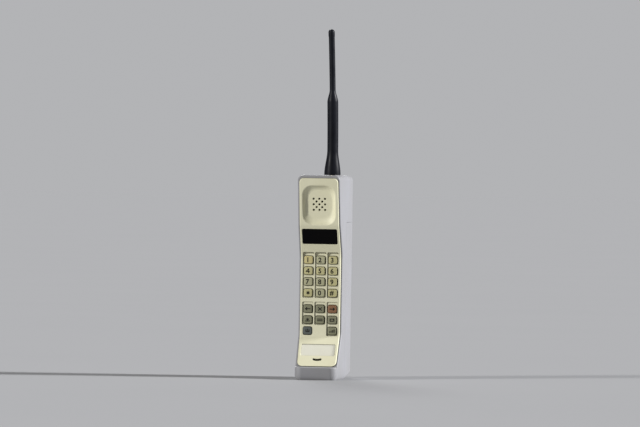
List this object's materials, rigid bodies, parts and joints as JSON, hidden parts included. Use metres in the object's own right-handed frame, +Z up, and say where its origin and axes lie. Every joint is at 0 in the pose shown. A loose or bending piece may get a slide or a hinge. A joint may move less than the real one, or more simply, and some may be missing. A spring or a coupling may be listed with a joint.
{
  "type": "early mobile brick phone",
  "caption": "Upright hand-held mobile phone with a rubber screw-in antenna, a sprung keypad in a hollowed front, a dished earpiece and a slide-off battery pack.",
  "frame": {"origin": "middle of the body's width and depth, on the surface that the phone stands on", "axes": "+Z up along the phone to the antenna, the keypad faces -Y, +X is the right-hand side seen from the front"},
  "size_m": [0.0444, 0.086, 0.3325],
  "materials": {
    "housing_plastic": "satin",
    "cover_plastic": "satin",
    "window_plastic": "polished",
    "nameplate_plastic": "satin",
    "number_key_plastic": "satin",
    "function_key_plastic": "satin",
    "send_key_plastic": "satin",
    "power_key_plastic": "satin",
    "antenna_rubber": "satin",
    "mat_rubber": "matte",
    "foam": "matte",
    "circuit_board": "satin",
    "display_red": "gloss",
    "black_plastic": "satin",
    "cell_sleeve": "satin",
    "aluminium": "satin",
    "tinned_steel": "satin",
    "spring_steel": "satin",
    "brass": "satin"
  },
  "bodies": {
    "housing": {"main_housing": "housing_plastic", "front_cover": "cover_plastic", "display_window": "window_plastic", "nameplate": "nameplate_plastic", "key_mat": "mat_rubber", "keypad_board": "circuit_board", "logic_board": "circuit_board", "chassis_plate": "aluminium", "earpiece_gasket": "foam", "earpiece_speaker": "black_plastic", "display_digits": "display_red", "display_board": "circuit_board", "microphone_boot": "mat_rubber", "microphone": "tinned_steel", "radio_board": "circuit_board", "radio_shield": "tinned_steel", "duplexer": "tinned_steel", "battery_terminal_left": "brass", "battery_terminal_right": "brass", "cover_screw_1": "tinned_steel", "cover_screw_2": "tinned_steel", "cover_screw_3": "tinned_steel", "cover_screw_4": "tinned_steel", "antenna_socket": "brass"},
    "button_1": {"key_1": "number_key_plastic"},
    "button_2": {"key_2": "number_key_plastic"},
    "button_3": {"key_3": "number_key_plastic"},
    "button_4": {"key_4": "number_key_plastic"},
    "button_5": {"key_5": "number_key_plastic"},
    "button_6": {"key_6": "number_key_plastic"},
    "button_7": {"key_7": "number_key_plastic"},
    "button_8": {"key_8": "number_key_plastic"},
    "button_9": {"key_9": "number_key_plastic"},
    "button_star": {"key_star": "number_key_plastic"},
    "button_0": {"key_0": "number_key_plastic"},
    "button_hash": {"key_hash": "number_key_plastic"},
    "button_recall": {"key_recall": "function_key_plastic"},
    "button_clear": {"key_clear": "function_key_plastic"},
    "button_send": {"key_send": "send_key_plastic"},
    "button_store": {"key_store": "function_key_plastic"},
    "button_function": {"key_function": "function_key_plastic"},
    "button_end": {"key_end": "function_key_plastic"},
    "button_power": {"key_power": "power_key_plastic"},
    "button_volume": {"key_volume": "function_key_plastic"},
    "antenna_lift": {"antenna_washer": "mat_rubber"},
    "antenna": {"antenna_stud": "brass", "antenna_rod": "spring_steel", "antenna_sheath": "antenna_rubber"},
    "battery": {"battery_case": "housing_plastic", "battery_lid": "housing_plastic", "pack_contact_left": "brass", "pack_contact_right": "brass", "battery_cell_1": "cell_sleeve", "battery_cell_2": "cell_sleeve", "battery_cell_3": "cell_sleeve", "battery_cell_4": "cell_sleeve", "battery_cell_5": "cell_sleeve", "battery_cell_6": "cell_sleeve", "latch_spring": "spring_steel"},
    "latch": {"battery_latch": "black_plastic"}
  },
  "joints": [
    {"name": "press_1", "type": "slide", "parent": "housing", "child": "button_1", "axis": [0, 1, 0], "range_m": [0, 0.0008], "stiffness_N_per_m": 1200, "springref_m": -0.0001},
    {"name": "press_2", "type": "slide", "parent": "housing", "child": "button_2", "axis": [0, 1, 0], "range_m": [0, 0.0008], "stiffness_N_per_m": 1200, "springref_m": -0.0001},
    {"name": "press_3", "type": "slide", "parent": "housing", "child": "button_3", "axis": [0, 1, 0], "range_m": [0, 0.0008], "stiffness_N_per_m": 1200, "springref_m": -0.0001},
    {"name": "press_4", "type": "slide", "parent": "housing", "child": "button_4", "axis": [0, 1, 0], "range_m": [0, 0.0008], "stiffness_N_per_m": 1200, "springref_m": -0.0001},
    {"name": "press_5", "type": "slide", "parent": "housing", "child": "button_5", "axis": [0, 1, 0], "range_m": [0, 0.0008], "stiffness_N_per_m": 1200, "springref_m": -0.0001},
    {"name": "press_6", "type": "slide", "parent": "housing", "child": "button_6", "axis": [0, 1, 0], "range_m": [0, 0.0008], "stiffness_N_per_m": 1200, "springref_m": -0.0001},
    {"name": "press_7", "type": "slide", "parent": "housing", "child": "button_7", "axis": [0, 1, 0], "range_m": [0, 0.0008], "stiffness_N_per_m": 1200, "springref_m": -0.0001},
    {"name": "press_8", "type": "slide", "parent": "housing", "child": "button_8", "axis": [0, 1, 0], "range_m": [0, 0.0008], "stiffness_N_per_m": 1200, "springref_m": -0.0001},
    {"name": "press_9", "type": "slide", "parent": "housing", "child": "button_9", "axis": [0, 1, 0], "range_m": [0, 0.0008], "stiffness_N_per_m": 1200, "springref_m": -0.0001},
    {"name": "press_star", "type": "slide", "parent": "housing", "child": "button_star", "axis": [0, 1, 0], "range_m": [0, 0.0008], "stiffness_N_per_m": 1200, "springref_m": -0.0001},
    {"name": "press_0", "type": "slide", "parent": "housing", "child": "button_0", "axis": [0, 1, 0], "range_m": [0, 0.0008], "stiffness_N_per_m": 1200, "springref_m": -0.0001},
    {"name": "press_hash", "type": "slide", "parent": "housing", "child": "button_hash", "axis": [0, 1, 0], "range_m": [0, 0.0008], "stiffness_N_per_m": 1200, "springref_m": -0.0001},
    {"name": "press_recall", "type": "slide", "parent": "housing", "child": "button_recall", "axis": [0, 1, 0], "range_m": [0, 0.0008], "stiffness_N_per_m": 1200, "springref_m": -0.0001},
    {"name": "press_clear", "type": "slide", "parent": "housing", "child": "button_clear", "axis": [0, 1, 0], "range_m": [0, 0.0008], "stiffness_N_per_m": 1200, "springref_m": -0.0001},
    {"name": "press_send", "type": "slide", "parent": "housing", "child": "button_send", "axis": [0, 1, 0], "range_m": [0, 0.0008], "stiffness_N_per_m": 1200, "springref_m": -0.0001},
    {"name": "press_store", "type": "slide", "parent": "housing", "child": "button_store", "axis": [0, 1, 0], "range_m": [0, 0.0008], "stiffness_N_per_m": 1200, "springref_m": -0.0001},
    {"name": "press_function", "type": "slide", "parent": "housing", "child": "button_function", "axis": [0, 1, 0], "range_m": [0, 0.0008], "stiffness_N_per_m": 1200, "springref_m": -0.0001},
    {"name": "press_end", "type": "slide", "parent": "housing", "child": "button_end", "axis": [0, 1, 0], "range_m": [0, 0.0008], "stiffness_N_per_m": 1200, "springref_m": -0.0001},
    {"name": "press_power", "type": "slide", "parent": "housing", "child": "button_power", "axis": [0, 1, 0], "range_m": [0, 0.0008], "stiffness_N_per_m": 1200, "springref_m": -0.0001},
    {"name": "press_volume", "type": "slide", "parent": "housing", "child": "button_volume", "axis": [0, 1, 0], "range_m": [0, 0.0008], "stiffness_N_per_m": 1200, "springref_m": -0.0001},
    {"name": "antenna_rise", "type": "slide", "parent": "housing", "child": "antenna_lift", "axis": [0, 0, 1], "range_m": [0, 0.0075]},
    {"name": "antenna_turn", "type": "hinge", "parent": "antenna_lift", "child": "antenna", "pos_m": [0.007, 0.005, 0.1935], "axis": [0, 0, 1], "range_deg": [0, 2700]},
    {"name": "battery_slide", "type": "slide", "parent": "housing", "child": "battery", "axis": [0, 0, -1], "range_m": [0, 0.014]},
    {"name": "latch_slide", "type": "slide", "parent": "battery", "child": "latch", "axis": [0, 0, -1], "range_m": [0, 0.0025], "stiffness_N_per_m": 300, "springref_m": -0.001, "deforming": ["latch_spring"]}
  ],
  "couplings": [
    {"joint": "antenna_turn", "follows": "antenna_rise", "rad_per_m": 6283.2}
  ]
}
